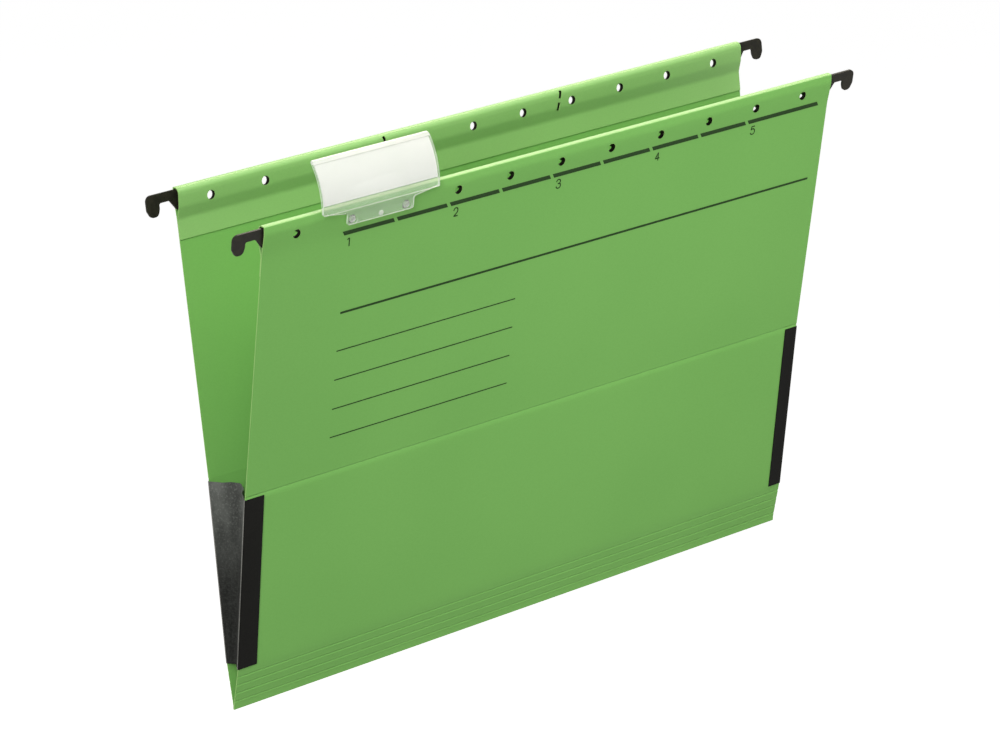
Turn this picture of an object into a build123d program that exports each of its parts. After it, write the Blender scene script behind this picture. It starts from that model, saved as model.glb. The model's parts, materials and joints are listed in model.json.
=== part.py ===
from build123d import *
import os
from math import asin, cos, degrees, radians, sin

# Hanging file folder: one scored card sheet, two hook rails, two cloth gussets, a clear tab and its label.
# Frame: origin midway between the four hook seats, X along the folder, front at -Y, Z up.

# Card sheet
panel_width = 318.0
panel_height = 234.7
card_thickness = 0.4
score_height = 106.0
knee_height = 21.5
base_lean = 11.5
middle_lean = 6.3
upper_lean = 8.4
fold_gap = 0.2
crease_gap = 0.3
base_score_count = 4
base_score_width = 0.9
base_score_depth = 0.15

# Rolled loop along each top edge
loop_height = 14.0
loop_outer_bulge = 0.9
loop_outer_belly_depth = 3.6
loop_outer_belly_radius = 9.0
loop_lip = 0.3
loop_crease_radius = 0.6
loop_top_reach = 3.9
loop_roll_radius = 2.4
loop_inner_bulge = 3.75
loop_inner_belly_depth = 3.7
loop_inner_belly_radius = 6.0
flap_length = 25.5
hole_count = 11
hole_end_margin = 16.9
hole_sides = 24
hole_diameter = 4.0
hole_depth = 6.8
slit_place_pitch_share = 1.73
slit_width = 1.3
slit_length = 3.6
slit_bridge = 1.8
slit_top_depth = 1.0
slit_slant = 20.0

# Hook rail
rail_thickness = 1.0
rail_inset = 0.9
rail_top_depth = 0.9
rail_bottom_depth = 9.8
hook_reach = 15.0
hook_width = 6.4
hook_tip_depth = 10.6
hook_shoulder_depth = 7.4
hook_tip_inner_inset = 1.0
hook_tip_outer_inset = 1.7
seat_depth = 5.1
root_reach = 3.4
hook_corner_radius = 2.6
hook_tip_radius = 2.2
hook_side_radius = 2.5
notch_radius = 0.9
root_radius = 1.5

# Cloth gussets
cloth_thickness = 0.3
gusset_score_gap = 1.0
band_widths = {"left": 9.7, "right": 7.2}
leaf_top_gap = 0.95
leaf_bottom_gap = 0.55
leaf_angle = 53.3
leaf_clearance = 0.15
leaf_edge_inset = 0.4

# Clear tab and its label
tab_place_pitch_share = -3.5
tab_width = 61.0
tab_radius = 33.0
tab_wall = 0.4
tab_slot = 0.7
tab_top_height = 20.1
tab_bend_depth = 4.9
tab_shoulder_depth = 1.4
tab_seat_gap = 0.3
tab_pocket_rise = 2.4
tab_rim = 1.2
tab_corner_radius = 1.6
foot_width = 35.0
foot_bottom_depth = 8.8
foot_top_depth = 3.3
foot_thickness = 0.8
foot_corner_radius = 1.4
lug_clearance = 0.4
lug_button_diameter = 3.8
lug_button_height = 0.3
lug_past_rail = 0.2
centre_button_diameter = 2.4
label_thickness = 0.2
label_end_gap = 0.3
label_side_inset = 0.6

cut_overrun = 5.0

# Places worked out from the sizes above
upper_height = panel_height - score_height
hole_pitch = (panel_width - hole_end_margin * 2) / (hole_count - 1)
gusset_length = score_height - gusset_score_gap - knee_height
knee_y = knee_height * sin(radians(base_lean))
knee_z = knee_height * cos(radians(base_lean))
middle_length = score_height - knee_height
score_y = knee_y + middle_length * sin(radians(middle_lean))
score_z = knee_z + middle_length * cos(radians(middle_lean))
seat_rise = upper_height - seat_depth
seat_z = score_z + rail_inset * sin(radians(upper_lean)) + seat_rise * cos(radians(upper_lean))

# The front half stands in these three frames: X along the folder, Y inward, Z up the card
fold_frame = Pos(0, 0, -seat_z)
middle_frame = fold_frame * Pos(0, -knee_y, knee_z) * Rot(middle_lean, 0, 0)
upper_frame = fold_frame * Pos(0, -score_y, score_z) * Rot(upper_lean, 0, 0)


def run_across(section, width):
    """Extrude a section drawn as (inward, up) to both sides of the folder's middle."""
    return extrude(Plane.YZ * section, width / 2, both=True)


def turned_back(front_piece):
    """The same piece on the back half of the folder."""
    return mirror(front_piece, Plane.XZ)


def knee_inside(depth):
    """Point at a depth inside the card where its base section meets its middle section."""
    base = Vector(cos(radians(base_lean)), sin(radians(base_lean)))
    middle = Vector(cos(radians(middle_lean)), sin(radians(middle_lean)))
    return Vector(-knee_y, knee_z) + (base + middle) * (depth / (1 + base.dot(middle)))


# Lower half of a card panel, from the bottom fold to the middle score
def lower_panel():
    top_outside = Vector(-score_y, score_z)
    along = Vector(-sin(radians(middle_lean)), cos(radians(middle_lean)))
    inward = Vector(cos(radians(middle_lean)), sin(radians(middle_lean)))
    top_outside = top_outside - along * (crease_gap / 2)
    outline = Polyline(
        (0, 0),
        Vector(-knee_y, knee_z),
        top_outside,
        top_outside + inward * card_thickness,
        knee_inside(card_thickness),
        (0, card_thickness / sin(radians(base_lean))),
        close=True,
    )
    panel = run_across(make_face(outline), panel_width)
    panel -= Pos(0, cut_overrun / 2 - fold_gap / 2, 0) * Box(panel_width, cut_overrun, panel_height)
    groove = Rectangle(base_score_depth * 2, base_score_width)
    for step in range(base_score_count):
        height = knee_height * (step + 1) / (base_score_count + 1)
        place = Rot(base_lean, 0, 0) * Pos(0, 0, height)
        panel -= place * run_across(groove, panel_width)
    return fold_frame * panel


# Upper half of a card panel, from the middle score to the rolled edge, with the flap glued down inside
def upper_panel():
    joint = upper_height - loop_height
    outer_ply = Pos(card_thickness / 2, (joint + crease_gap / 2) / 2) * Rectangle(
        card_thickness, joint - crease_gap / 2
    )
    flap_ply = Pos(card_thickness * 3 / 2, upper_height - (flap_length + loop_height) / 2) * Rectangle(
        card_thickness, flap_length - loop_height
    )
    return run_across(outer_ply + flap_ply, panel_width)


# Rolled top edge round the rail: a sharp crease at the outer top, then a round roll over to the inside
def rolled_edge():
    joint = upper_height - loop_height
    outline = FilletPolyline(
        (0, joint),
        (-loop_outer_bulge, upper_height - loop_outer_belly_depth),
        (-loop_lip, upper_height),
        (loop_top_reach, upper_height),
        (loop_inner_bulge, upper_height - loop_inner_belly_depth),
        (card_thickness * 2, joint),
        radius=[0, loop_outer_belly_radius, loop_crease_radius, loop_roll_radius, loop_inner_belly_radius, 0],
        close=True,
    )
    roll = make_face(outline)
    wall = roll - offset(roll, -card_thickness, kind=Kind.INTERSECTION)
    edge = run_across(wall, panel_width) - fixing_holes(RegularPolygon(hole_diameter / 2, hole_sides))
    slit = Box(slit_width, (loop_inner_bulge - rail_inset) * 2, slit_length)
    slit_step = (slit_length + slit_bridge) / 2
    middle_depth = slit_top_depth + slit_length + slit_bridge / 2
    for side in (-1, 1):
        place = Pos(side * hole_pitch * slit_place_pitch_share, loop_inner_bulge, upper_height - middle_depth)
        for step in (-slit_step, slit_step):
            edge -= place * Rot(0, side * slit_slant, 0) * Pos(0, 0, step) * slit
    return edge


def fixing_holes(outline):
    """Row of punches through the loop, for the lugs of a tab."""
    punch = extrude(Plane.XZ * outline, loop_inner_bulge + cut_overrun, both=True)
    first = -hole_pitch * (hole_count - 1) / 2
    return [
        Pos(first + hole_pitch * step, 0, upper_height - hole_depth) * punch for step in range(hole_count)
    ]


# Flat steel rail in the loop, with a hook at each end
def rail():
    edge = panel_width / 2
    hook_inside = edge + hook_reach - hook_width
    hook_outside = edge + hook_reach
    half = [
        (edge, -rail_bottom_depth),
        (edge + root_reach, -seat_depth),
        (hook_inside, -seat_depth),
        (hook_inside, -hook_shoulder_depth),
        (hook_inside + hook_tip_inner_inset, -hook_tip_depth),
        (hook_outside - hook_tip_outer_inset, -hook_tip_depth),
        (hook_outside, -hook_shoulder_depth),
        (hook_outside, -rail_top_depth),
    ]
    radii = [
        root_radius,
        notch_radius,
        notch_radius,
        hook_side_radius,
        hook_tip_radius,
        hook_tip_radius,
        hook_side_radius,
        hook_corner_radius,
    ]
    other_half = [(-x, depth) for x, depth in reversed(half)]
    outline = FilletPolyline(*half, *other_half, radius=radii + radii[::-1], close=True)
    plate = extrude(Plane.XZ * make_face(outline), rail_thickness / 2, both=True)
    return Pos(0, rail_inset, upper_height) * plate - fixing_holes(Circle(hole_diameter / 2))


# Cloth gusset: a band glued outside each panel edge and two leaves that fold inward between the panels
def gusset_band(side):
    width = band_widths[side]
    outward = -1 if side == "left" else 1
    place = Pos(outward * (panel_width - width) / 2, -cloth_thickness / 2, gusset_length / 2)
    return middle_frame * place * Box(width, cloth_thickness, gusset_length)


leaf_root = card_thickness + leaf_clearance + cloth_thickness / 2


def leaf_width(half_gap, crease_gap):
    """Width of a leaf that stops short of the middle plane between the panels."""
    reach = (half_gap - crease_gap) / cos(radians(middle_lean)) - leaf_root
    return (reach - cloth_thickness / 2 * cos(radians(leaf_angle))) / sin(radians(leaf_angle))


def gusset_leaf(side):
    inward = 1 if side == "left" else -1
    top_half_gap = knee_y + gusset_length * sin(radians(middle_lean))
    outline = Polyline(
        (0, 0),
        (inward * leaf_width(knee_y, leaf_bottom_gap), 0),
        (inward * leaf_width(top_half_gap, leaf_top_gap), gusset_length),
        (0, gusset_length),
        close=True,
    )
    leaf = extrude(Plane.XZ * make_face(outline), cloth_thickness / 2, both=True)
    hinge = Pos(inward * (leaf_edge_inset - panel_width / 2), leaf_root, 0)
    return middle_frame * hinge * Rot(0, 0, inward * leaf_angle) * leaf


# Clear curved tab: a foot with two lugs in the card's holes, and a pocket open at both ends for the label
tab_thickness = tab_wall * 2 + tab_slot
tab_x = hole_pitch * tab_place_pitch_share
tab_back = -loop_outer_bulge - tab_seat_gap
tab_centre = Pos(tab_back - tab_thickness + tab_radius, upper_height - tab_bend_depth)
back_radius = tab_radius - tab_thickness
pocket_angle = degrees(asin((tab_bend_depth - tab_shoulder_depth) / tab_radius))
label_angle = degrees(asin((tab_bend_depth + tab_pocket_rise) / tab_radius))
top_angle = degrees(asin((tab_bend_depth + tab_top_height) / tab_radius))
rim_angle = degrees(tab_rim / tab_radius)


def arc_band(outer_radius, inner_radius, start, end):
    """Curved strip between two radii, from one angle above the foot to another."""
    def at(radius, angle):
        return Vector(-radius * cos(radians(angle)), radius * sin(radians(angle)))

    middle = (start + end) / 2
    outer = ThreePointArc(at(outer_radius, start), at(outer_radius, middle), at(outer_radius, end))
    inner = ThreePointArc(at(inner_radius, end), at(inner_radius, middle), at(inner_radius, start))
    tip = Line(at(outer_radius, end), at(inner_radius, end))
    root = Line(at(inner_radius, start), at(outer_radius, start))
    return tab_centre * make_face([outer, tip, inner, root])


def tab_holder():
    foot_height = foot_bottom_depth - tab_bend_depth
    foot = Pos(tab_back - foot_thickness / 2, upper_height - tab_bend_depth - foot_height / 2) * Rectangle(
        foot_thickness, foot_height
    )
    section = (
        foot
        + arc_band(back_radius + foot_thickness, back_radius, 0, pocket_angle)
        + arc_band(tab_radius, back_radius, pocket_angle, top_angle)
        - arc_band(tab_radius - tab_wall, back_radius + tab_wall, label_angle, top_angle - rim_angle)
    )
    outline = FilletPolyline(
        (tab_width / 2, upper_height + tab_radius),
        (tab_width / 2, upper_height - tab_shoulder_depth),
        (foot_width / 2, upper_height - foot_top_depth),
        (foot_width / 2, upper_height - foot_bottom_depth),
        (-foot_width / 2, upper_height - foot_bottom_depth),
        (-foot_width / 2, upper_height - foot_top_depth),
        (-tab_width / 2, upper_height - tab_shoulder_depth),
        (-tab_width / 2, upper_height + tab_radius),
        radius=[0, tab_corner_radius] + [foot_corner_radius] * 4 + [tab_corner_radius, 0],
        close=True,
    )
    holder = run_across(section, tab_width) & extrude(Plane.XZ * make_face(outline), tab_radius, both=True)
    lug_length = rail_inset + rail_thickness / 2 + lug_past_rail - tab_back
    lug = Rot(-90, 0, 0) * Cylinder(
        (hole_diameter - lug_clearance) / 2, lug_length, align=(Align.CENTER, Align.CENTER, Align.MIN)
    )
    for hole_side in (-1, 0, 1):
        place = Pos(hole_side * hole_pitch / 2, tab_back, upper_height - hole_depth)
        size = lug_button_diameter if hole_side else centre_button_diameter
        button = Rot(90, 0, 0) * Cylinder(
            size / 2, foot_thickness + lug_button_height, align=(Align.CENTER, Align.CENTER, Align.MIN)
        )
        holder += place * button
        if hole_side:
            holder += place * lug
    return Pos(tab_x, 0, 0) * holder


def label_insert():
    outer_radius = tab_radius - tab_wall - (tab_slot - label_thickness) / 2
    gap_angle = degrees(label_end_gap / tab_radius)
    lowest = label_angle + gap_angle
    highest = top_angle - rim_angle - gap_angle
    section = arc_band(outer_radius, outer_radius - label_thickness, lowest, highest)
    return Pos(tab_x, 0, 0) * run_across(section, tab_width - label_side_inset * 2)


front_lower = lower_panel()
front_upper = upper_frame * upper_panel()
front_edge = upper_frame * rolled_edge()
front_rail = upper_frame * rail()

nodes = {
    "front_panel_lower": front_lower,
    "back_panel_lower": turned_back(front_lower),
    "front_panel_upper": front_upper,
    "back_panel_upper": turned_back(front_upper),
    "front_rolled_edge": front_edge,
    "back_rolled_edge": turned_back(front_edge),
    "front_rail": front_rail,
    "back_rail": turned_back(front_rail),
    "tab_holder": upper_frame * tab_holder(),
    "label_insert": upper_frame * label_insert(),
}
for side in band_widths:
    band = gusset_band(side)
    leaf = gusset_leaf(side)
    nodes[side + "_gusset_front_band"] = band
    nodes[side + "_gusset_back_band"] = turned_back(band)
    nodes[side + "_gusset_front_leaf"] = leaf
    nodes[side + "_gusset_back_leaf"] = turned_back(leaf)

os.makedirs("parts", exist_ok=True)
for name, solid in nodes.items():
    export_step(solid, "parts/" + name + ".step")
    box = solid.bounding_box()
    print(name, "solids", len(solid.solids()), "volume", round(solid.volume, 1), box.min, box.max)

print("fold axis z", round(-seat_z + card_thickness / sin(radians(base_lean)), 4))
print("score y", round(score_y, 4), "z", round(score_z - seat_z, 4))
print("knee y", round(knee_y, 4), "z", round(knee_z - seat_z, 4))
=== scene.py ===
# %% [markdown]
# # A hanging file folder
# The folder is one sheet of green card, folded at the bottom and rolled over a black steel rail along
# each top edge. Black cloth gussets close its sides and a clear tab clips into holes at the top.
# The packed CAD model fixes the hinge lines and the overall box, so the scene loads it first and then
# dresses it piece by piece.

# %% Load the packed model
import json
from math import acos, asin, ceil, cos, exp, pi, radians, sin, tan

import bmesh
import bpy
from mathutils import Matrix, Vector


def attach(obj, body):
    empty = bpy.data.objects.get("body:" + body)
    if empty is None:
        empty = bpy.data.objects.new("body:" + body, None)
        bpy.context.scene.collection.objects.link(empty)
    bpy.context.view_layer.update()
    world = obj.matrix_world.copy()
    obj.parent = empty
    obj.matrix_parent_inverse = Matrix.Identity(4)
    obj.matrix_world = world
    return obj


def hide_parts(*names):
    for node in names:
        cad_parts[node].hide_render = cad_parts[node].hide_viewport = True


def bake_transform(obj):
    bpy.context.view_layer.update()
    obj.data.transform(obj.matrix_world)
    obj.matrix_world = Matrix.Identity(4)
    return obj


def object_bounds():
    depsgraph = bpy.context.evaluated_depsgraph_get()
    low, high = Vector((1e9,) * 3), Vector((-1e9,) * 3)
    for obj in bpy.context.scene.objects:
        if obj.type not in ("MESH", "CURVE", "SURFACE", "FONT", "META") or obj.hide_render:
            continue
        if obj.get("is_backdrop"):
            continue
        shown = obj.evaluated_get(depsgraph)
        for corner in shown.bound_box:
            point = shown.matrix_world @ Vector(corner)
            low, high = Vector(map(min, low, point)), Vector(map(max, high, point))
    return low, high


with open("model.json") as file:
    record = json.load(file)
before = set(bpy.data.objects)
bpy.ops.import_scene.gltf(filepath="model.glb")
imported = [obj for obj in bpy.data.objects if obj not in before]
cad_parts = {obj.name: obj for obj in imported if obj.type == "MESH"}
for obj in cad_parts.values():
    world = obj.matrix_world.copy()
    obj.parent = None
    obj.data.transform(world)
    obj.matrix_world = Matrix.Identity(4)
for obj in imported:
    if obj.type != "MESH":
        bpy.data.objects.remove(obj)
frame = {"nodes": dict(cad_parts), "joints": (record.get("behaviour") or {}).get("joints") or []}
cad_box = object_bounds()
mm = 0.001

# %% [markdown]
# ## Camera
# The picture was taken from the front left and a little above, from far away with a long lens, so edges
# stay nearly parallel. A camera can be matched by eye, but the card's corners and the row of holes fix
# its place and turn, so they were worked out from those.

# %% Place the camera
view_right = Vector((0.77580317, -0.63095787, -0.00464897))
view_up = Vector((0.23950079, 0.28764908, 0.92730652))
view_back = Vector((-0.58375407, -0.72052076, 0.37427398))
camera_place = (-1.07837, -1.31994, 0.57669)
lens_length, sensor_width = 147.91, 36.0
camera = bpy.data.objects.new("picture_camera", bpy.data.cameras.new("picture_camera"))
camera.data.sensor_width = sensor_width
camera.data.lens = lens_length
camera_turn = Matrix((view_right, view_up, view_back)).transposed().to_4x4()
camera.matrix_world = Matrix.Translation(camera_place) @ camera_turn
bpy.context.scene.collection.objects.link(camera)
bpy.context.scene.camera = camera
print("camera", [round(c, 3) for c in camera.location], "lens", round(camera.data.lens, 1))

# %% [markdown]
# ## Sums on node sockets
# A finish is a small web of nodes. Wiring Math nodes by hand is slow to read, so this class wraps one
# socket and lets Python's own signs add the nodes. Every other node comes from one method, which sets
# its settings before its sockets.

# %% A wire that can be added and multiplied
class Wire:
    """One node output; a sum made with it adds a Math node."""

    def __init__(self, tree, socket):
        self.tree = tree
        self.socket = socket

    def node(self, kind, settings, sockets, output=0):
        """Add a node of this type: its settings first, then values or wires for its sockets."""
        made = self.tree.nodes.new("ShaderNode" + kind)
        for name, value in settings.items():
            setattr(made, name, value)
        shown = [socket for socket in made.inputs if socket.enabled]
        for key, value in sockets.items():
            socket = shown[key] if isinstance(key, int) else next(s for s in shown if s.name == key)
            if isinstance(value, Wire):
                self.tree.links.new(value.socket, socket)
            else:
                socket.default_value = value
        return Wire(self.tree, [socket for socket in made.outputs if socket.enabled][output])

    def maths(self, operation, first, second):
        return self.node("Math", {"operation": operation}, {0: first, 1: second})

    def __add__(self, other):
        return self.maths("ADD", self, other)

    def __radd__(self, other):
        return self.maths("ADD", other, self)

    def __sub__(self, other):
        return self.maths("SUBTRACT", self, other)

    def __rsub__(self, other):
        return self.maths("SUBTRACT", other, self)

    def __mul__(self, other):
        return self.maths("MULTIPLY", self, other)

    def __rmul__(self, other):
        return self.maths("MULTIPLY", other, self)


print("signs a wire takes:", [name for name in vars(Wire) if name.strip("_") in ("add", "sub", "mul")])

# %% [markdown]
# ## Helpers for finishes
# Colours are measured in the picture as 0 to 255 values, while shaders work in linear light, so one
# helper changes them over. The others start a finish, spread noise over it, blend two colours and give
# it a fine relief.

# %% Small helpers for finishes
def seen(red, green, blue):
    """Linear colour of a picture's 0 to 255 values, by the usual curve of screens."""
    shares = [value / 255 for value in (red, green, blue)]
    return tuple(v / 12.92 if v <= 0.04045 else ((v + 0.055) / 1.055) ** 2.4 for v in shares) + (1.0,)


def new_finish(name):
    """A material, its shader and the wire that carries the place on the object in metres."""
    material = bpy.data.materials.new(name)
    material.use_nodes = True
    tree = material.node_tree
    place = Wire(tree, tree.nodes.new("ShaderNodeTexCoord").outputs["Object"])
    return material, tree.nodes["Principled BSDF"], place


def noise(place, size, detail=2.0, stretch=(1, 1, 1)):
    """Noise with patches about this many millimetres across."""
    if stretch != (1, 1, 1):
        place = place.node("VectorMath", {"operation": "MULTIPLY"}, {0: place, 1: stretch})
    return place.node("TexNoise", {}, {"Vector": place, "Scale": 1000 / size, "Detail": detail})


def blend_colours(share, first, second):
    """Colour that goes from the first to the second as the share goes from 0 to 1."""
    return share.node("Mix", {"data_type": "RGBA"}, {"Factor": share, "A": first, "B": second})


def spread(wire, low, high):
    """Stretch the part of a wire between low and high over 0 to 1, with soft ends."""
    ends = {"From Min": low, "From Max": high}
    return wire.node("MapRange", {"interpolation_type": "SMOOTHSTEP"}, {"Value": wire, **ends})


def relief(shader, height, depth, strength):
    """Let a wire raise the surface by at most this depth in millimetres."""
    bump = height.node("Bump", {}, {"Height": height, "Distance": depth * mm, "Strength": strength})
    height.tree.links.new(bump.socket, shader.inputs["Normal"])


def feed(shader, **wires):
    """Join wires or plain values to the shader's sockets; an underscore stands for a space."""
    for name, value in wires.items():
        socket = shader.inputs[name.replace("_", " ")]
        if isinstance(value, Wire):
            value.tree.links.new(value.socket, socket)
        else:
            socket.default_value = value


print("card green in linear light:", [round(c, 3) for c in seen(116, 180, 92)])

# %% [markdown]
# ## Light and room
# The picture is a bright studio shot on white. The main soft lamp stands low on the left, so it shines
# in through the open side as well as over the front's top edge, and weaker ones high on the left and
# right bring out the scores. A small one close before the front leaves its sides darker than its
# middle, and two warm ones, behind and over the right end, glance off the tops of the rolled edges.
# The white room fills the rest. A folder hangs clear of the ground, so the floor is far below. What
# the camera, reflections and clear plastic see of it is plain white.

# %% Light the room
def looked_at(tree):
    """1 where the camera looks straight at a thing, or sees it mirrored or through clear plastic."""
    path = tree.nodes.new("ShaderNodeLightPath")
    rays = [Wire(tree, path.outputs[f"Is {kind} Ray"]) for kind in ("Camera", "Glossy", "Transmission")]
    return rays[0].maths("MAXIMUM", rays[0], rays[1].maths("MAXIMUM", rays[1], rays[2]))


def white_room(strength):
    """A white world that lights things this strongly but always looks white."""
    world = bpy.data.worlds.new("white_room")
    bpy.context.scene.world = world
    world.use_nodes = True
    tree = world.node_tree
    sky = tree.nodes["Background"]
    sky.inputs["Color"].default_value = (1, 1, 1, 1)
    mask = looked_at(tree)
    tree.links.new((mask + (1 - mask) * strength).socket, sky.inputs["Strength"])


def soft_lamp(name, place, aim, size, power, colour=(1, 1, 1)):
    """A round area lamp, in metres and watts, that faces its aim."""
    lamp = bpy.data.objects.new(name, bpy.data.lights.new(name, "AREA"))
    lamp.data.shape = "DISK"
    lamp.data.size = size
    lamp.data.energy, lamp.data.color = power, colour
    lamp.location = place
    lamp.rotation_mode = "QUATERNION"
    lamp.rotation_quaternion = (Vector(aim) - Vector(place)).to_track_quat("-Z", "Y")
    bpy.context.scene.collection.objects.link(lamp)


middle_of_folder, between_hooks = (0.0, 0.0, -0.08), (0.0, 0.0, 0.0)
warm, slightly_warm = (1.0, 0.9, 0.72), (1.0, 0.95, 0.86)
white_room(strength=0.1)
soft_lamp("lamp_left_high", (-0.605, -0.605, 1.02), middle_of_folder, size=0.5, power=5.0)
soft_lamp("lamp_left_low", (-1.6, -0.85, 0.85), middle_of_folder, size=0.8, power=27.0)
soft_lamp("lamp_right", (0.6, -0.42, 1.0), middle_of_folder, size=0.6, power=5.5, colour=slightly_warm)
soft_lamp("lamp_before", (0.12, -0.4, -0.04), (0.1, 0.0, -0.08), size=0.25, power=0.44)
soft_lamp("lamp_behind", (0.8, 0.93, 0.91), between_hooks, size=0.8, power=15.0, colour=warm)
soft_lamp("lamp_over", (0.75, -0.1, 1.28), between_hooks, size=0.8, power=5.0, colour=warm)
bpy.context.scene.view_settings.view_transform = "Standard"

# %% A pale floor far below
floor_reach, floor_level = 9.0, -1.3
floor_grey, floor_pale = (0.88, 0.88, 0.88, 1), (0.92, 0.92, 0.92, 1)
floor_finish, floor_shader, floor_place = new_finish("pale_floor")
floor_tone = blend_colours(noise(floor_place, size=400.0), floor_grey, floor_pale)
feed(floor_shader, Base_Color=floor_tone, Roughness=0.9, Specular_IOR_Level=0.0)
floor_glow = blend_colours(looked_at(floor_place.tree), (0, 0, 0, 1), floor_grey)
feed(floor_shader, Emission_Color=floor_glow, Emission_Strength=1.0)
floor_mesh = bpy.data.meshes.new("floor")
quarters = ((-1, -1), (1, -1), (1, 1), (-1, 1))
floor_corners = [(a * floor_reach, b * floor_reach, floor_level) for a, b in quarters]
floor_mesh.from_pydata(floor_corners, [], [(0, 1, 2, 3)])
floor_mesh.materials.append(floor_finish)
floor = bpy.data.objects.new("floor", floor_mesh)
bpy.context.scene.collection.objects.link(floor)
floor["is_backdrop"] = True

# %% [markdown]
# ## Where the card stands
# Each panel of the folder leans out in three straight runs: a base by the fold, a middle between the
# knee and the score, and an upper run to the rolled edge. The score is a hinge of the CAD model, so its
# place comes from there, and the other runs are laid on from it. Each run is a small frame with one
# direction in through the card and one up it. The back panel is the front one with y turned round.

# %% The three runs of a panel
score_place = next(Vector(j["pos_m"]) / mm for j in frame["joints"] if j["name"] == "front_score")
score_height, knee_height, panel_height = 106.0, 21.5, 234.7
base_lean, middle_lean, upper_lean = 11.5, 6.3, 8.4
half_width, card = 159.0, 0.4


class Run:
    """A straight run of the front panel: (inward, up) in millimetres gives (y, z)."""

    def __init__(self, start, lean):
        self.start = start
        self.inward = Vector((cos(radians(lean)), sin(radians(lean))))
        self.up = Vector((-sin(radians(lean)), cos(radians(lean))))

    def at(self, inward, up):
        return self.start + self.inward * inward + self.up * up


upper = Run(score_place.yz, upper_lean)
middle = Run(upper.start - Run(upper.start, middle_lean).up * (score_height - knee_height), middle_lean)
base = Run(middle.start - Run(middle.start, base_lean).up * knee_height, base_lean)
print("fold at y, z:", [round(c, 3) for c in base.start], "knee at", [round(c, 3) for c in middle.start])

# %% [markdown]
# ## Rounded paths
# Card and plastic never turn a truly sharp corner. A Bevel could round them afterwards, but a path that
# is round from the start takes points where they are needed. It is given by its corners and a radius
# for each. One helper draws the arcs, and another adds points wherever fine relief such as a pressed
# score will be.

# %% Path with rounded corners
def rounded_path(corners, turn=7.0):
    """Points along a line whose corners are (point, radius) pairs, with steps of this many degrees."""
    points = [corners[0][0]]
    for (before, _), (corner, radius), (after, _) in zip(corners, corners[1:], corners[2:]):
        back, ahead = (before - corner).normalized(), (after - corner).normalized()
        bend = pi - acos(max(-1.0, min(1.0, back.dot(ahead))))
        reach = radius * tan(bend / 2)
        if reach < 1e-6:
            points.append(corner)
            continue
        centre = corner + (back + ahead).normalized() * (radius / cos(bend / 2))
        steps = max(2, ceil(bend / radians(turn)))
        first, last = corner + back * reach - centre, corner + ahead * reach - centre
        for step in range(steps + 1):
            share = step / steps
            along = sin((1 - share) * bend) * first + sin(share * bend) * last
            points.append(centre + along / sin(bend))
    points.append(corners[-1][0])
    return points


def refine(points, spacing):
    """Add points so that none are further apart than spacing(length so far) allows."""
    made, length = [points[0]], 0.0
    for first, last in zip(points, points[1:]):
        run, gone = (last - first).length, 0.0
        while gone < run:
            step = spacing(length + gone)
            if gone + step * 1.5 >= run:
                break
            gone += step
            made.append(first.lerp(last, gone / run))
        made.append(last)
        length += run
    return made


quarter_turn = [(Vector((0, 0)), 0), (Vector((5, 0)), 2), (Vector((5, 5)), 0)]
print("a quarter turn takes", len(rounded_path(quarter_turn)), "points")

# %% [markdown]
# ## The card's section
# A slice through the front panel starts just above the fold, climbs to the top, turns over a sharp
# crease, rolls round the rail and ends as a flap glued down inside. Four scores beside the fold and one
# across the middle are pressed into the card: each is a shallow groove with slightly raised sides, so
# light from above picks out two thin lines.

# %% Draw the section of a panel
top_up = panel_height - score_height
rolled_height, flap_reach = 14.0, 23.0
joint_up, flap_up = top_up - rolled_height, top_up - flap_reach
strip_end = 3.4
belly_out, belly_down = 0.9, 3.6
crease_out, roll_in = 0.3, 3.7
shoulder_in, shoulder_down = 3.6, 3.7
waist_in, waist_down = 2.9, 8.7
flap_lift = 0.02
# Each corner is a place and the radius of its bend.
section_corners = [
    (base.at(0, strip_end), 0),
    (middle.start, 30.0),
    (upper.start, 20.0),
    (upper.at(0, joint_up), 40.0),
    (upper.at(-belly_out, top_up - belly_down), 9.0),
    (upper.at(-crease_out, top_up), 0.55),
    (upper.at(roll_in, top_up), 2.4),
    (upper.at(shoulder_in, top_up - shoulder_down), 6.0),
    (upper.at(waist_in, top_up - waist_down), 8.0),
    (upper.at(2 * card, joint_up), 6.0),
    (upper.at(2 * card + flap_lift, flap_up), 0),
]
base_scores, base_depth, middle_depth = (4.3, 8.6, 12.9, 17.2), 0.19, 0.2
scores = {height: base_depth for height in base_scores}
scores[score_height] = middle_depth
score_half, score_ridge, score_reach = 0.5, 0.9, 1.2
finest_step, widest_step = 0.14, 4.0


def near_score(length):
    """How far the next point of the section may be: a short way near a score."""
    away = min(abs(length + strip_end - height) for height in scores)
    return min(widest_step, max(finest_step, away - score_reach))


def pressed(height):
    """How far a score pushes the card in, at a height up the card; less than nothing on its ridges."""
    total = 0.0
    for place, depth in scores.items():
        away = (height - place) / score_half
        total += depth * ((1.0 - score_ridge * away * away) * exp(-away * away))
    return total


panel_path = refine(rounded_path(section_corners), near_score)
print("panel section:", len(panel_path), "points")

# %% [markdown]
# ## Sheets as grids
# Card and cloth are thin sheets. A Solidify modifier could thicken a plain surface, but the scores are
# pressed deeper on one face than on the other, so one helper makes every sheet from rows of points on
# one face and on the other, with the cut edges between. The cut edges get a finish of their own,
# because dyed card is paler where it is cut.

# %% Turn rows of points into a closed sheet
sharp_angle = radians(40)
main_finish, edge_finish, third_finish = 0, 1, 2


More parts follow.
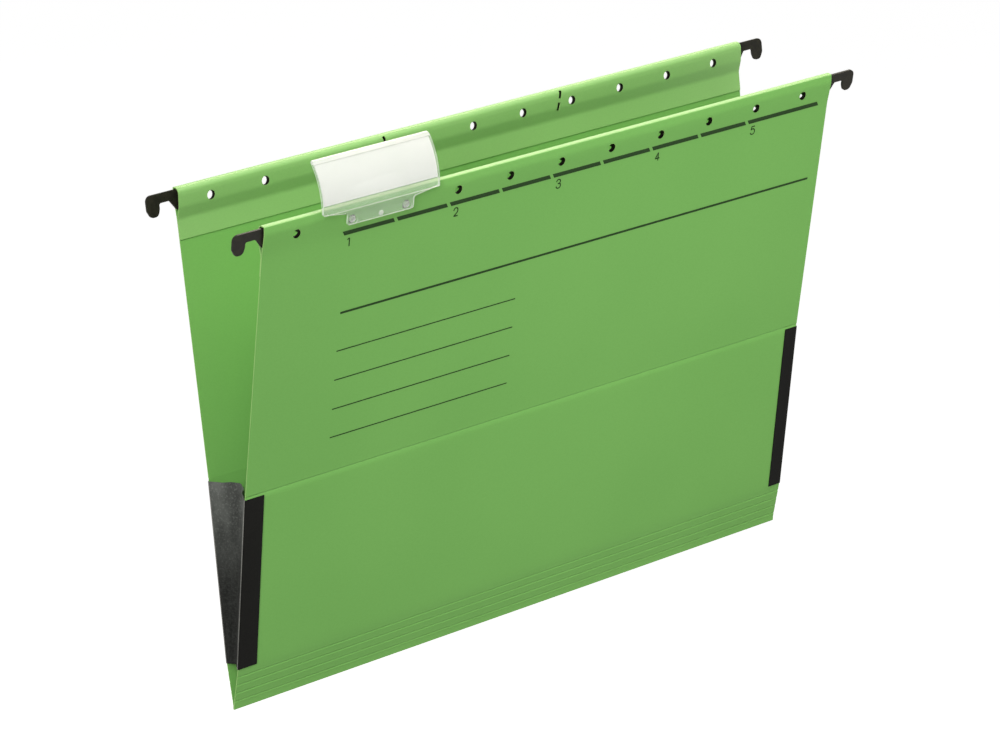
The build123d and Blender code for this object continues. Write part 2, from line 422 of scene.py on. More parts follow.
def to_object(name, shape, finishes):
    """Object of a bmesh in millimetres, smooth but for its sharp edges."""
    bmesh.ops.scale(shape, vec=(mm, mm, mm), verts=shape.verts)
    mesh = bpy.data.meshes.new(name)
    shape.to_mesh(mesh)
    shape.free()
    mesh.shade_smooth()
    mesh.set_sharp_from_angle(angle=sharp_angle)
    for finish in finishes:
        mesh.materials.append(finish)
    made = bpy.data.objects.new(name, mesh)
    bpy.context.scene.collection.objects.link(made)
    return made


def sheet_from_rows(name, rows, finishes):
    """Closed sheet from rows of (line on one face, line on the other), 3-D points in millimetres."""
    shape = bmesh.new()
    made = [[[shape.verts.new(point) for point in line] for line in row] for row in rows]
    last = len(made[0][0]) - 1
    for (face_a, other_a), (face_b, other_b) in zip(made, made[1:]):
        for i in range(last):
            shape.faces.new((face_a[i], face_b[i], face_b[i + 1], face_a[i + 1]))
            shape.faces.new((other_a[i], other_a[i + 1], other_b[i + 1], other_b[i]))
        for i in (0, last):
            edge = shape.faces.new((face_a[i], other_a[i], other_b[i], face_b[i]))
            edge.material_index = edge_finish
    for face, other in (made[0], made[-1]):
        for i in range(last):
            edge = shape.faces.new((face[i], face[i + 1], other[i + 1], other[i]))
            edge.material_index = edge_finish
    bmesh.ops.recalc_face_normals(shape, faces=shape.faces)
    return to_object(name, shape, finishes)


def path_normals(points):
    """Unit vectors to the left of a path."""
    ahead, behind = points[1:] + points[-1:], points[:1] + points[:-1]
    return [Vector((b.y - a.y, a.x - b.x)).normalized() for a, b in zip(ahead, behind)]


print("normal of a rising line:", path_normals([Vector((0, 0)), Vector((0, 1))])[0][:])

# %% [markdown]
# ## Card finishes
# The card is dyed through, matt, and full of short fibres that lie along it. Its colour drifts a little
# over a hand's width, fibres and pinholes speckle it, and the face is not quite flat. Noise of three
# sizes gives all of these. The cut edge is the same pulp without the pressed face, so it is paler. The
# turned-over top edge and flap are painted paler, a painted sheen of light from above, and have a soft real
# shine.

# %% Green card, its cut edge and the painted sheen of its rolled edge
def card_finish(name, light, dark, fibre_size, shine):
    """Dyed card between two tones, with fibres about this many millimetres across."""
    finish, shader, place = new_finish(name)
    drift = spread(noise(place, size=70.0, detail=1.0), low=0.3, high=0.7)
    fibres = noise(place, fibre_size, detail=3.0, stretch=(0.5, 1, 1))
    pinholes = spread(noise(place, size=0.3, detail=0.0), low=0.7, high=0.82)
    tone = drift * 0.3 + spread(fibres, low=0.25, high=0.8) * 0.4 + pinholes * 0.3
    feed(shader, Base_Color=blend_colours(tone, light, dark), Roughness=0.42 + fibres * 0.16)
    feed(shader, Specular_IOR_Level=shine)
    relief(shader, fibres - pinholes * 0.3, depth=0.02, strength=0.4)
    return finish


card_finishes = [
    card_finish("green_card", seen(126, 187, 97), seen(118, 179, 91), fibre_size=0.5, shine=0.12),
    card_finish(
        "green_card_cut_edge", seen(164, 207, 126), seen(144, 190, 106), fibre_size=0.25, shine=0.2
    ),
    # The turned-over card's paler tones are a painted sheen of light from above; its higher shine is real.
    card_finish(
        "green_card_rolled_edge", seen(146, 197, 116), seen(137, 189, 109), fibre_size=0.5, shine=0.45
    ),
]
print("card finishes:", [finish.name for finish in card_finishes])

# %% [markdown]
# ## The two panels
# Each panel is one strip from just above the fold to the end of its flap, swept along the folder. The
# rolled edge is only held by its glue, so it bellies out a little more towards the middle of its
# length. The part that is turned over takes the paler finish with the painted sheen.

# %% Sweep the panels along the folder
half_steps = 40
stations = [half_width * (step / half_steps - 1) for step in range(2 * half_steps + 1)]
slack_most, slack_middle, slack_reach = 0.3, 35.0, 85.0
inner_press = 0.1
turned_from, crest_depth, flap_margin = 0.6, 0.45, 0.5
heights = [strip_end]
for first, last in zip(panel_path, panel_path[1:]):
    heights.append(heights[-1] + (last - first).length)


def slack(height, x):
    """Extra belly of the rolled edge's outer wall, in millimetres."""
    share = (height - panel_height + rolled_height) / rolled_height
    if not 0 < share < 1:
        return 0.0
    return slack_most * sin(pi * share) ** 2 * exp(-(((x - slack_middle) / slack_reach) ** 2))


def panel(name, half):
    """The front panel, half 1, or the back one, half -1."""
    faces = list(zip(panel_path, path_normals(panel_path), heights))
    rows = []
    for x in stations:
        row = []
        for depth, press in ((0.0, 1.0), (card, inner_press)):
            line = [p + n * (slack(h, x) - pressed(h) * press - depth) for p, n, h in faces]
            row.append([Vector((x, half * p.x, p.y)) for p in line])
        rows.append(row)
    made = sheet_from_rows(name, rows, card_finishes)
    for face in made.data.polygons:
        away = Vector((half * face.center.y, face.center.z)) / mm - upper.start
        inward, up = away.dot(upper.inward), away.dot(upper.up)
        # The crest, roll and flap take the finish that is painted paler as sheen.
        on_crest = inward > -crease_out and up > top_up - crest_depth
        turned_over = up > flap_up - flap_margin and (inward > turned_from or on_crest)
        if face.material_index == main_finish and turned_over:
            face.material_index = third_finish
    return made


front_card = panel("front_card", 1)
back_card = panel("back_card", -1)
print("panel vertices:", len(front_card.data.vertices))

# %% [markdown]
# ## Holes and slits
# Eleven round holes go through the outer wall, the rail and the inner wall, and a pair of short slits
# on each side of the middle, leaning apart at the top, hold a label strip on the inside. Holes could be
# left open while the grid is drawn, but a Boolean cuts both walls at once and gives the cut its paler
# finish. The card is punched flat and rolled afterwards, so the inner hole never lands quite behind the
# outer one: it sits lower on the front panel and a little higher on the back one, and to one side on
# both. The way through is slanted to match.

# %% Helpers for cutting
def upper_point(x, inward, up, half=1):
    """Place on the upper run of the front panel, half 1, or the back one, half -1."""
    place = upper.at(inward, up)
    return Vector((x, half * place.x, place.y))


def prism(shape, outline, turned, low, high, finish=main_finish):
    """Closed prism of a flat outline; turned(a, b, height) gives its points."""
    ends = [[shape.verts.new(turned(a, b, level)) for a, b in outline] for level in (low, high)]
    faces = [shape.faces.new(ends[0]), shape.faces.new(ends[1][::-1])]
    for i in range(len(outline)):
        j = (i + 1) % len(outline)
        faces.append(shape.faces.new((ends[0][i], ends[1][i], ends[1][j], ends[0][j])))
    for face in faces:
        face.material_index = finish


def circle(x, up, radius, sides=48):
    turns = [2 * pi * k / sides for k in range(sides)]
    return [(x + radius * cos(turn), up + radius * sin(turn)) for turn in turns]


def settle(obj):
    """Make an object's modifiers part of its mesh."""
    done = bpy.data.meshes.new_from_object(obj.evaluated_get(bpy.context.evaluated_depsgraph_get()))
    obj.modifiers.clear()
    obj.data = done
    done.name = obj.name
    done.set_sharp_from_angle(angle=sharp_angle)


def carve(obj, shape, operation="DIFFERENCE", finishes=()):
    """Cut or join a closed bmesh with an object, for good."""
    bmesh.ops.recalc_face_normals(shape, faces=shape.faces)
    tool = to_object("tool", shape, finishes)
    step = obj.modifiers.new("carve", "BOOLEAN")
    step.operation, step.object, step.solver = operation, tool, "EXACT"
    settle(obj)
    bpy.data.objects.remove(tool)


print("a hole has", len(circle(0.0, 0.0, 1.0)), "sides")

# %% Punch the rolled edges
hole_pitch, hole_radius, hole_up = 28.42, 2.0, top_up - 6.8
slit_half, slit_length, slit_lean = 0.75, 3.6, radians(12.0)
slit_aside, slit_up, slit_starts = 1.73 * hole_pitch, top_up - 5.5, (-4.5, 0.9)
# A slant is how far aside and up a cut goes for each millimetre inward, and where it starts to.
hole_slants = {1: (0.35, -0.8, -0.7), -1: (-0.35, 0.24, 2.2)}
slit_slant = (0.0, 0.24, 2.2)
through_all, inner_wall_only = (-4.0, 8.0), (1.45, 8.0)


def slanted(half, aside, rise, start):
    """Way through the rolled edge that moves by these shares of how far in from the start it goes."""
    return lambda x, up, inward: upper_point(
        x + aside * (inward - start), inward, up + rise * (inward - start), half
    )


def slit_outline(side, low):
    """Corners of a slit that starts this far up its line, which leans out from the middle."""
    turn = slit_lean * side
    high = low + slit_length
    outline = []
    for wide, rise in ((-slit_half, low), (slit_half, low), (slit_half, high), (-slit_half, high)):
        x = side * slit_aside + wide * cos(turn) + rise * sin(turn)
        outline.append((x, slit_up + rise * cos(turn) - wide * sin(turn)))
    return outline


def punch(obj, half):
    """Cut the holes and slits of one panel."""
    shape = bmesh.new()
    for place in range(-5, 6):
        hole = circle(place * hole_pitch, hole_up, hole_radius)
        prism(shape, hole, slanted(half, *hole_slants[half]), *through_all, edge_finish)
    for side in (-1, 1):
        for low in slit_starts:
            slit = slit_outline(side, low)
            prism(shape, slit, slanted(half, *slit_slant), *inner_wall_only, edge_finish)
    carve(obj, shape, finishes=card_finishes)


punch(front_card, 1)
punch(back_card, -1)
print("punched panel vertices:", len(front_card.data.vertices))

# %% [markdown]
# ## The fold
# At the bottom the sheet is creased hard, so the two plies touch for a couple of millimetres above a
# tight bend. This short strip joins the two panels.

# %% Crease the bottom fold
squeeze, bend_steps, ply_steps = 0.42, 10, 7
meet_up = card / sin(radians(base_lean))
bend_turns = [pi * k / bend_steps for k in range(bend_steps + 1)]
crease_low = [Vector((-squeeze * cos(turn), squeeze - squeeze * sin(turn))) for turn in bend_turns]
flank = Vector((-squeeze, squeeze / tan(radians(base_lean))))
fold_outer = [base.at(0, strip_end) - base.start, flank, *crease_low, Vector((-flank.x, flank.y))]
fold_outer.append(Vector((-fold_outer[0].x, fold_outer[0].y)))
inside, meeting = base.at(card, strip_end) - base.start, Vector((0, meet_up))
front_ply = [inside.lerp(meeting, k / ply_steps) for k in range(ply_steps + 1)]
fold_inner = front_ply + [Vector((-p.x, p.y)) for p in front_ply[-2::-1]]
rows = []
for x in stations:
    rows.append([[Vector((x, *(base.start + p))) for p in line] for line in (fold_outer, fold_inner)])
fold_strip = sheet_from_rows("fold_strip", rows, card_finishes[:third_finish])
print("fold points:", len(fold_outer), len(fold_inner))

# %% [markdown]
# ## The card in place
# The panels and the fold strip have their transforms baked into their meshes, and the CAD panels and
# rolled edges that they stand for are hidden.

# %% Bake the card in place
def across(point, half):
    """Place in metres of a (y, z) point on either panel."""
    return Vector((0, half * point.x, point.y)) * mm


for obj, half, side_name in ((front_card, 1, "front"), (back_card, -1, "back")):
    across(middle.at(0, score_height - knee_height - 1.0), half)
    across(upper.at(0, 1.0), half)
    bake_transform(obj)
    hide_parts(*(side_name + ending for ending in ("_panel_lower", "_panel_upper", "_rolled_edge")))
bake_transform(fold_strip)
print("card pieces:", front_card.name, back_card.name, fold_strip.name)

# %% [markdown]
# ## Printing
# The outside of the front panel is printed in dark green: a row of slanted dashes with the tab
# positions 1 to 5 under them, a long line for a title and four short ones for notes. A picture could be
# laid on the card, but it would blur close up. Ink lies on the card, so each mark is a thin flat shape
# that follows the face a few hundredths of a millimetre above it.

# %% Ink, and the face that it lies on
ink, ink_shader, ink_place = new_finish("dark_green_ink")
ink_wear = spread(noise(ink_place, size=0.5), low=0.35, high=0.7)
feed(ink_shader, Base_Color=blend_colours(ink_wear, seen(32, 56, 24), seen(42, 70, 32)), Roughness=0.6)
feed(ink_shader, Specular_IOR_Level=0.12)
ink_lift = 0.05
wall = [((p - upper.start).dot(upper.up), (p - upper.start).dot(upper.inward)) for p in panel_path]
# The crease is the highest point of the section, and of the points as high as it the furthest out.
crease_at = max(range(len(wall)), key=lambda i: wall[i][0] - 0.5 * wall[i][1])
wall = [pair for pair in wall[:crease_at] if pair[0] > 0]


def face_in(up):
    """How far in the outer face of the front panel lies at a height on the upper run."""
    for (low, low_in), (high, high_in) in zip(wall, wall[1:]):
        if low <= up <= high:
            return low_in + (high_in - low_in) * (up - low) / (high - low)
    return wall[-1][1]


def printed(x, up):
    """Place of ink on the front panel."""
    return upper_point(x, face_in(up) - ink_lift, up)


print("points of the printed face:", len(wall))

# %% Print the lines and dashes
dash_ends, last_dash_ends = (-117.75, -91.05), (109.6, 152.1)
dash_up, dash_thick, dash_slant, dash_count = 115.5, 2.1, 1.2, 8
title_ends, title_up, title_thick = (-115.5, 152.9), 77.6, 1.08
note_ends, note_ups, note_thick = (-115.9, -18.3), (59.4, 45.35, 31.2, 17.3), 0.54
longest_piece = 20.0


def mark(shape, left, right, centre, thickness, slant=0.0):
    """A printed stroke; slant moves its lower edge along."""
    low, high = centre - thickness / 2, centre + thickness / 2
    steps = max(1, round((right - left) / longest_piece))
    for k in range(steps):
        a, b = left + (right - left) * k / steps, left + (right - left) * (k + 1) / steps
        for bottom, top in ((low, centre), (centre, high)):
            bottom_shift, top_shift = [slant * (high - level) / thickness for level in (bottom, top)]
            places = [(a + bottom_shift, bottom), (b + bottom_shift, bottom)]
            places += [(b + top_shift, top), (a + top_shift, top)]
            shape.faces.new([shape.verts.new(printed(*place)) for place in places])


shape = bmesh.new()
for place in range(dash_count):
    dash = [end + place * hole_pitch for end in dash_ends]
    mark(shape, *dash, dash_up, dash_thick, dash_slant)
mark(shape, *last_dash_ends, dash_up, dash_thick, dash_slant)
mark(shape, *title_ends, title_up, title_thick)
for note_up in note_ups:
    mark(shape, *note_ends, note_up, note_thick)
printed_lines = to_object("printed_lines", shape, [ink])
print("printed strokes:", len(printed_lines.data.polygons))

# %% Print the digits
digit_up, digit_centre, pen_half, pen_turn = 110.9, (1.3, 2.1), 0.3, 15.0
strokes = {
    "1": [[(0.3, 3.2, 0), (1.35, 4.2, 0.3), (1.35, 0, 0)]],
    "2": [[(0.2, 2.9, 0), (0.2, 4.2, 1.0), (2.3, 4.2, 1.0), (2.3, 2.2, 1.0), (0.3, 0.3, 0.1), (2.5, 0.3, 0)]],
    "3": [
        [(0.2, 3.1, 0), (0.2, 4.2, 0.95), (2.3, 4.2, 0.95), (2.3, 2.25, 0.9), (0.9, 2.25, 0)],
        [(0.9, 2.25, 0), (2.5, 2.25, 1.0), (2.5, 0, 1.05), (0.1, 0, 1.05), (0.1, 1.1, 0)],
    ],
    "4": [[(2.7, 1.15, 0), (0.2, 1.15, 0.1), (1.8, 4.0, 0.1), (1.8, 0, 0)]],
    "5": [[(2.4, 3.9, 0), (0.6, 3.9, 0.1), (0.3, 2.2, 0.1), (0.9, 2.7, 0.6), (2.5, 2.7, 1.2),
           (2.5, 0, 1.2), (0.1, 0, 1.0), (0.1, 1.0, 0)]],
}


def printed_digit(digit, x, up):
    """A digit drawn with a pen a little over half a millimetre wide."""
    shape = bmesh.new()
    for corners in strokes[digit]:
        path = [(Vector((a - digit_centre[0], b - digit_centre[1])), radius) for a, b, radius in corners]
        line = rounded_path(path, pen_turn)
        line = [p for k, p in enumerate(line) if k == 0 or (p - line[k - 1]).length > 1e-4]
        sides = []
        for p, n in zip(line, path_normals(line)):
            pair = (p + n * pen_half, p - n * pen_half)
            sides.append([shape.verts.new(printed(x + q.x, up + q.y)) for q in pair])
        for (a, b), (c, d) in zip(sides, sides[1:]):
            shape.faces.new((a, b, d, c))
    return to_object("printed_digit_" + digit, shape, [ink])


digits = [printed_digit(str(k + 1), (2 * k - 4) * hole_pitch, digit_up) for k in range(5)]
for obj in (printed_lines, *digits):
    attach(obj, "front_upper")
print("digits:", [obj.name for obj in digits])

# %% [markdown]
# ## Rails
# The rails are flat steel strips, stamped and then lacquered black. Their CAD shape is right, so it
# stays; a narrow bevel takes the razor edge off, as lacquer does, and catches a thin line of light.

# %% Lacquer the rails
rail_bevel, weld_gap = 0.16, 0.002
lacquer, lacquer_shader, lacquer_place = new_finish("black_lacquer")
dust = noise(lacquer_place, size=3.0, detail=4.0)
grain = noise(lacquer_place, size=0.3, detail=1.0)
lacquer_tone = blend_colours(spread(dust, low=0.35, high=0.7), seen(27, 26, 20), seen(38, 36, 28))
feed(lacquer_shader, Base_Color=lacquer_tone, Roughness=0.42 + dust * 0.16, Specular_IOR_Level=0.16)
relief(lacquer_shader, grain, depth=0.02, strength=0.4)


def add_bevel(obj, width):
    """Round an object's sharp edges with a modifier, by a width in millimetres."""
    bevel = obj.modifiers.new("bevel", "BEVEL")
    bevel.width, bevel.segments = width * mm, 2
    bevel.limit_method, bevel.angle_limit = "ANGLE", sharp_angle
    return bevel


for name in ("front_rail", "back_rail"):
    rail = frame["nodes"][name]
    rail.data.materials.clear()
    rail.data.materials.append(lacquer)
    weld = rail.modifiers.new("weld", "WELD")
    weld.merge_threshold = weld_gap * mm
    add_bevel(rail, rail_bevel).harden_normals = True

# %% [markdown]
# ## Gusset cloth
# Each side is closed by one strip of thin black book cloth. A band of it is glued to the outside of
# each panel, wraps round the card's edge and folds inward to a crease half way between the panels. The
# cloth is slack, so it buckles softly between the edge and the crease. Its leaves are painted paler
# towards the top, a painted sheen of light from above with painted shade lower down, mottled by worn
# patches and specks. Where it wraps the card it is painted pale as a highlight on the fold, with
# some wear. A cloth simulation could drape it, but glue and crease leave it little freedom, so a few
# waves draw its buckles.

# %% Black book cloth
def cloth_finish(name, dark, light, sheen_and_wear_low, sheen_and_wear_high, shine, crinkle):
    """Cloth painted paler from this share at the gusset's foot to that one at its top: painted sheen and
    shade, with worn patches and specks.
    """
    finish, shader, place = new_finish(name)
    height = place.node("SeparateXYZ", {}, {"Vector": place}, 2)
    # Paler towards the top: painted sheen of light from above, painted shade lower down.
    lit_towards_top = spread(height, (middle.start.y + 8) * mm, (upper.start.y + 6) * mm)
    threads_up = noise(place, size=0.5, detail=1.0, stretch=(1, 1, 0.4))
    threads_along = noise(place, size=0.5, detail=1.0, stretch=(0.4, 0.4, 1))
    weave = threads_up * threads_along
    patches = spread(noise(place, size=9.0, detail=3.0, stretch=(1, 1, 0.5)), low=0.25, high=0.8)
    crinkles = noise(place, size=5.0, detail=3.0, stretch=(1, 1, 1.6))
    specks = spread(noise(place, size=0.9), low=0.5, high=0.8)
    sheen_and_wear = sheen_and_wear_low + lit_towards_top * lit_towards_top * (sheen_and_wear_high - sheen_and_wear_low)
    sheen_and_wear_share = sheen_and_wear * (0.24 + patches * 0.62 + specks * 0.5) + spread(weave, low=0.15, high=0.4) * 0.08
    feed(shader, Base_Color=blend_colours(sheen_and_wear_share, dark, light), Roughness=0.4 + weave * 0.25)
    feed(shader, Specular_IOR_Level=shine)
    relief(shader, crinkles * crinkle + weave * 0.2, depth=0.4, strength=0.6)
    return finish


cloth_finishes = [
    # The leaf's pale grey near its top is painted sheen; the band keeps the cloth's near-black.
    cloth_finish(
        "black_book_cloth", seen(10, 11, 8), seen(112, 115, 110),
        sheen_and_wear_low=0.02, sheen_and_wear_high=1.0, shine=0.14, crinkle=1.0,
    ),
    cloth_finish(
        "black_book_cloth_band", seen(9, 9, 7), seen(44, 44, 40),
        sheen_and_wear_low=0.1, sheen_and_wear_high=0.2, shine=0.06, crinkle=0.1,
    ),
    # Painted highlight where the cloth wraps the card's edge, with some wear.
    cloth_finish(
        "black_book_cloth_rubbed", seen(58, 58, 54), seen(165, 165, 158),
        sheen_and_wear_low=0.6, sheen_and_wear_high=0.9, shine=0.2, crinkle=0.1,
    ),
]
print("cloth finishes:", [finish.name for finish in cloth_finishes])

# %% Line of the slack cloth
band_width = {"left": 9.7, "right": 7.2}
gusset_length, leaf_angle, cloth_thickness = 83.5, radians(53.3), 0.3
band_off, edge_out, turn_in, crease_bend = 0.17, half_width + 0.2, card + 0.2, 0.9
# Above this height the crease turns out, like the corner of a page.
ear_from, ear_out = 68.0, 1.8
leaf_pieces, shortest_leaf, cloth_turn = 28, 1.0, 15.0


def crease_in(up):
    """How far in from the front panel the crease lies, half way to the back one."""
    return -middle.at(0, up).x / middle.inward.x


def wave(turns):
    return sin(2 * pi * turns)


def buckle(share, up):
    """How far the slack cloth stands off its leaf, in millimetres; less where the leaf is narrow."""
    waves = wave(0.9 * share + up / 58 + 0.1) + 0.6 * wave(1.7 * share - up / 33 + 0.4)
    small = wave(up / 6.3 + 1.1 * share) + 0.7 * wave(up / 8.9 - 0.8 * share + 0.3)
    slack_share = crease_in(up) / crease_in(gusset_length)
    return (0.55 * waves + 0.16 * small * (1 - share)) * sin(pi * share) * slack_share


def gusset_line(band, up):
    """Middle of the cloth from a band's edge to the crease: (out from the middle, inward) points."""
    bend_in = crease_in(up) - crease_bend
    bend_out = edge_out - (bend_in - turn_in) / tan(leaf_angle)
    bend_out += ear_out * max(0.0, (up - ear_from) / (gusset_length - ear_from)) ** 2
    corners = [
        (Vector((half_width - band, -band_off)), 0),
        (Vector((edge_out, -band_off)), 0.3),
        (Vector((edge_out, turn_in)), 0.25),
        (Vector((bend_out, bend_in)), 1.5),
        (Vector((bend_out, crease_in(up))), 0),
    ]
    line = []
    points = rounded_path(corners, cloth_turn)
    for first, last in zip(points, points[1:]):
        pieces = leaf_pieces if (last - first).length > shortest_leaf else 1
        off = (last - first).orthogonal().normalized()
        on_leaf = pieces > 1 and first.y > 0
        for k in range(pieces):
            sway = buckle(k / pieces, up) if on_leaf else 0.0
            line.append(first.lerp(last, k / pieces) + off * sway)
    return line + points[-1:]


print("points from band to crease:", len(gusset_line(band_width["left"], gusset_length)))

# %% Fold the gussets
gusset_steps = 56
wrap_out, wrap_in, band_in = half_width + 0.1, 0.7, 0.5


def on_front(place):
    """(inward, up) of a point on the front panel's middle run; the back panel is its mirror image."""
    away = Vector((-abs(place.y), place.z)) / mm - middle.start
    return away.dot(middle.inward), away.dot(middle.up)


def gusset(name, side, band):
    """One strip of cloth from the front band to the back one, on the left, side -1, or the right."""
    rows = []
    for step in range(gusset_steps + 1):
        up = gusset_length * step / gusset_steps
        line = gusset_line(band, up)
        row = []
        for depth in (cloth_thickness / 2, -cloth_thickness / 2):
            front = []
            for point, normal in zip(line, path_normals(line)):
                out, inward = point + normal * depth
                front.append(Vector((side * out, *middle.at(inward, up))))
            row.append(front + [Vector((p.x, -p.y, p.z)) for p in front[-2::-1]])
        rows.append(row)
    made = sheet_from_rows(name, rows, cloth_finishes)
    for face in made.data.polygons:
        inward = on_front(face.center)[0]
        # Faces that wrap the card's edge take the painted fold highlight.
        wraps = abs(face.center.x) > wrap_out * mm and 0.0 < inward < wrap_in
        face.material_index = third_finish if wraps else edge_finish if inward < band_in else main_finish
    return made


gussets = [gusset(f"{name}_gusset", side, band_width[name]) for name, side in (("left", -1), ("right", 1))]
print("gussets:", [(obj.name, len(obj.data.vertices)) for obj in gussets])

# %% [markdown]
# ## Laying the cloth flat
# The strip closes up with the panels like a fan. Each point gets a share by how far across the strip it
# lies; the strip is laid flat by these shares, its transform is baked, and it is folded again afterwards.


def share_of(place):
    """How far across the strip a point lies, as a share: 0 at the front edge, 1 at the back one."""
    inward, up = on_front(place)
    across_half = 0.5 * max(0.0, min(1.0, (inward - turn_in) / (crease_in(up) - turn_in)))
    return across_half if place.y < 0 else 1 - across_half


def blend_flat(obj):
    """Lay a strip flat, each point as far across as its eased share, bake its transform, and refold it."""
    folded = [vertex.co.copy() for vertex in obj.data.vertices]
    for vertex, place in zip(obj.data.vertices, folded):
        vertex.co.y = 0.5 - sin(asin(1 - 2 * share_of(place)) / 3)
    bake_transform(obj)
    for vertex, place in zip(obj.data.vertices, folded):
        vertex.co = place


for obj in gussets:
    blend_flat(obj)
    parts = [f"{obj.name}_{half}_{part}" for half in ("front", "back") for part in ("band", "leaf")]
    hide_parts(*parts)

# %% [markdown]
# ## Clear tab
# The tab is moulded in clear plastic. Its foot lies on the outside of the rolled edge and two lugs on
# its back press through the holes; above the card it leans back in an arc, hollow so that a paper label
# slides in from the end. The section is drawn once, swept along the tab, hollowed, and trimmed to the
# tab's outline.

# %% Draw the tab
tab_x, tab_half, foot_half = -3.5 * hole_pitch, 30.5, 17.5
tab_back, tab_thick, tab_radius, foot_thick = -1.2, 1.5, 33.0, 0.8
tab_low, bend_up, tab_high = top_up - 8.8, top_up - 4.9, 25.0
shoulder_low, shoulder_high = top_up - 3.3, top_up - 1.4
groove_rises, groove_depth = (5.25, 5.4, 5.6, 5.75), 0.25
pocket_rise, label_rise, bend_start = 3.5, 7.3, 0.02
pocket_wall, pocket_short, rim_round = 0.4, 0.04, 0.025
foot_face, tab_top = tab_back - foot_thick, bend_up + tab_high
tab_centre = Vector((tab_back - tab_thick + tab_radius, bend_up))


def turn_at(rise):
    """Turn along the tab's front at which it has risen this far above its bend."""
    return asin(rise / tab_radius)


def arc(radius, first, last, steps):
    """Points round the tab's centre between two turns."""
    turns = [first + (last - first) * k / steps for k in range(steps + 1)]
    return [(tab_centre.x - radius * cos(t), tab_centre.y + radius * sin(t)) for t in turns]


def tab_outline():
    """The tab from the front: a narrow foot under a wide pocket."""
    corners = [
        (Vector((0, tab_low)), 0),
        (Vector((foot_half, tab_low)), 1.4),
        (Vector((foot_half, shoulder_low)), 1.2),
        (Vector((tab_half, shoulder_high)), 0.8),
        (Vector((tab_half, tab_top)), 1.6),
        (Vector((0, tab_top)), 0),
    ]
    right = rounded_path(corners, 10.0)
    return [(p.x, p.y) for p in right[1:-1]] + [(-p.x, p.y) for p in right[-2:0:-1]]


pocket_turn, label_turn, top_turn = turn_at(pocket_rise), turn_at(label_rise), turn_at(tab_high)


def tab_section():
    """The tab from its end, as if it were solid: foot, bend, ledge, groove, front, crown and rear."""
    groove_turns = [turn_at(rise) for rise in groove_rises]
    foot = [(tab_back, tab_low), (foot_face, tab_low), (foot_face, bend_up)]
    bend = arc(tab_radius - tab_thick + foot_thick, bend_start, pocket_turn, 4)
    ledge = arc(tab_radius, pocket_turn, groove_turns[0], 3)
    groove = arc(tab_radius - groove_depth, groove_turns[1], groove_turns[2], 1)
    front = arc(tab_radius, groove_turns[3], top_turn - rim_round, 26)
    crown = arc(tab_radius - tab_thick / 2, top_turn, top_turn, 1)[:1]
    rear = arc(tab_radius - tab_thick, top_turn - rim_round, 0.0, 30)
    return foot + bend + ledge + groove + front + crown + rear


def pocket_section():
    """The space for the label, between two thin walls."""
    pocket_top = top_turn - pocket_short
    front = arc(tab_radius - pocket_wall, label_turn, pocket_top, 30)
    return front + arc(tab_radius - tab_thick + pocket_wall, pocket_top, label_turn, 30)


print("points of the tab's section:", len(tab_section()), "outline:", len(tab_outline()))

# %% Mould the tab
sweep_spare, pocket_spare, trim_reach = 2, 4, (-6.0, 30.0)


def along_tab(inward, up, x):
    return upper_point(x, inward, up)


def through_tab(x, up, inward):
    return upper_point(tab_x + x, inward, up)


shape = bmesh.new()
prism(shape, tab_section(), along_tab, tab_x - tab_half - sweep_spare, tab_x + tab_half + sweep_spare)
bmesh.ops.recalc_face_normals(shape, faces=shape.faces)
tab = to_object("clear_tab", shape, [])
shape = bmesh.new()
prism(shape, pocket_section(), along_tab, tab_x - tab_half - pocket_spare, tab_x + tab_half + pocket_spare)
carve(tab, shape)
shape = bmesh.new()
prism(shape, tab_outline(), through_tab, *trim_reach)
carve(tab, shape, "INTERSECT")
print("tab vertices:", len(tab.data.vertices))

# %% Press the lugs and buttons on
lug_radius, button_radius, dot_radius = 1.45, 1.9, 1.2
beside, lug_end = hole_pitch / 2, 2.1
for radius, inner, outer, places in (
    (lug_radius, lug_end, tab_back - 0.3, (-beside, beside)),
    (button_radius, tab_back - 0.4, foot_face - 0.3, (-beside, beside)),
    (dot_radius, tab_back - 0.4, foot_face - 0.2, (0.0,)),
):
    for x in places:
        shape = bmesh.new()
        prism(shape, circle(x, hole_up, radius, 40), through_tab, inner, outer)
        carve(tab, shape, "UNION")
print("tab with lugs:", len(tab.data.vertices))

# %% [markdown]
# ## Clear plastic
# Moulded plastic this thin hardly bends the light, so a low alpha lets the card show through, where
# glass would cost more and look heavier. Cut faces, the rim and the buttons are thick to look through,
# so they are whiter and less clear.

# %% Clear plastic, and whiter where it is cut or thick
tab_bevel, rim_depth = 0.1, 2.0


def plastic_finish(name, colour, deep, alpha, rough):
    """Hazy plastic between two tones that hides this share of what is behind it."""
    finish, shader, place = new_finish(name)
    haze = spread(noise(place, size=14.0), low=0.3, high=0.75)
    feed(shader, Base_Color=blend_colours(haze, colour, deep), Roughness=rough + haze * 0.08)
    feed(shader, Alpha=alpha, Specular_IOR_Level=0.5)
    return finish


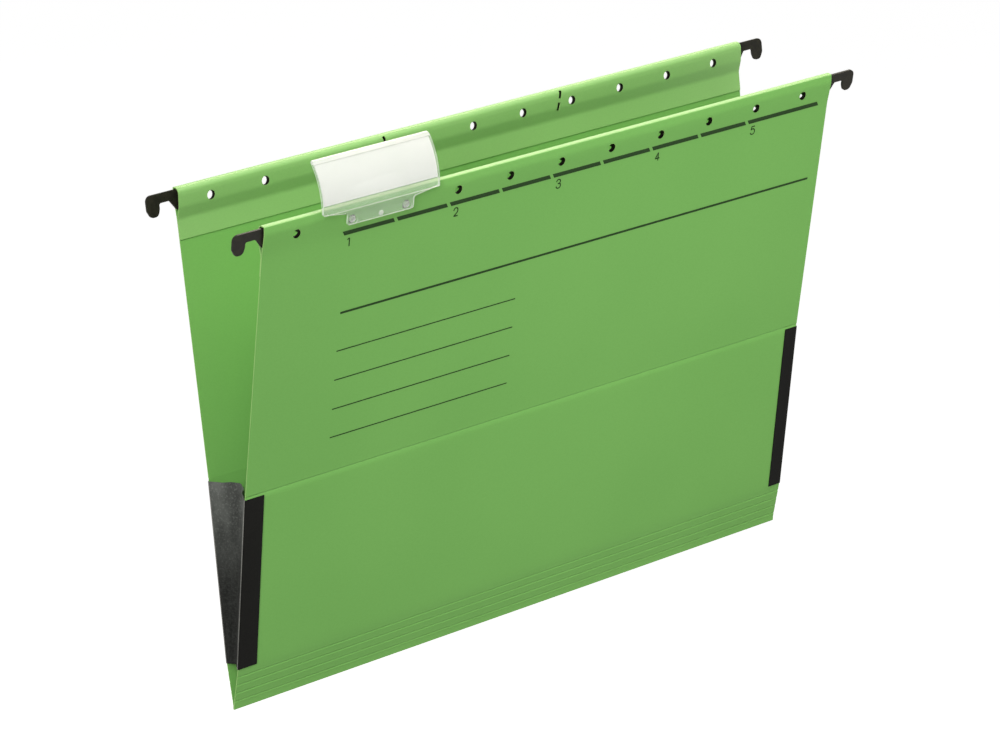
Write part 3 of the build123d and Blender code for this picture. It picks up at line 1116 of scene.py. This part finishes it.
def is_whitish(face):
    """Whether a face of the tab is a cut face, on the rim, or on a button or the dot."""
    place = face.center.yz / mm - upper.start
    inward, up = place.dot(upper.inward), place.dot(upper.up)
    cut_face = abs(face.normal.x) > 0.4 or face.normal.z < -0.8
    button_side = inward < foot_face - 0.02 and abs(face.normal.y) < 0.7
    dot = abs(face.center.x / mm - tab_x) < dot_radius + 0.1 and inward < foot_face - 0.1
    return cut_face or up > tab_top - rim_depth or ((button_side or dot) and up < bend_up)


clear = plastic_finish("clear_plastic", (0.86, 0.92, 0.84, 1), (0.78, 0.86, 0.76, 1), alpha=0.17, rough=0.08)
whitish = plastic_finish(
    "clear_plastic_edge", (0.93, 0.95, 0.9, 1), (0.85, 0.89, 0.82, 1), alpha=0.62, rough=0.12
)
add_bevel(tab, tab_bevel).material = edge_finish
tab.data.materials.clear()
tab.data.materials.append(clear)
tab.data.materials.append(whitish)
for face in tab.data.polygons:
    face.material_index = edge_finish if is_whitish(face) else main_finish
settle(tab)
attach(tab, "tab")
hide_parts("tab_holder")
print("finished tab vertices:", len(tab.data.vertices))

# %% [markdown]
# ## Paper label
# The label is a slip of white paper that takes the pocket's curve. The CAD slip already does, so it
# only needs paper.

# %% White paper
paper, paper_shader, paper_place = new_finish("white_paper")
paper_fibres = noise(paper_place, size=0.8, detail=3.0)
feed(paper_shader, Base_Color=blend_colours(paper_fibres, (0.86, 0.86, 0.85, 1), (0.8, 0.8, 0.79, 1)))
feed(paper_shader, Roughness=0.7 + paper_fibres * 0.15)
relief(paper_shader, paper_fibres, depth=0.02, strength=0.3)
label = frame["nodes"]["label_insert"]
label.data.materials.clear()
label.data.materials.append(paper)

# %% [markdown]
# ## Sizes
# Both boxes, the CAD's and the dressed folder's, are worked out and printed in millimetres.

# %% Print the sizes
bpy.context.view_layer.update()
dressed_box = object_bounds()
sizes = {name: [list(corner) for corner in box] for name, box in (("cad", cad_box), ("visual", dressed_box))}
print({name: [round((b - a) / mm, 1) for a, b in zip(*box)] for name, box in sizes.items()})
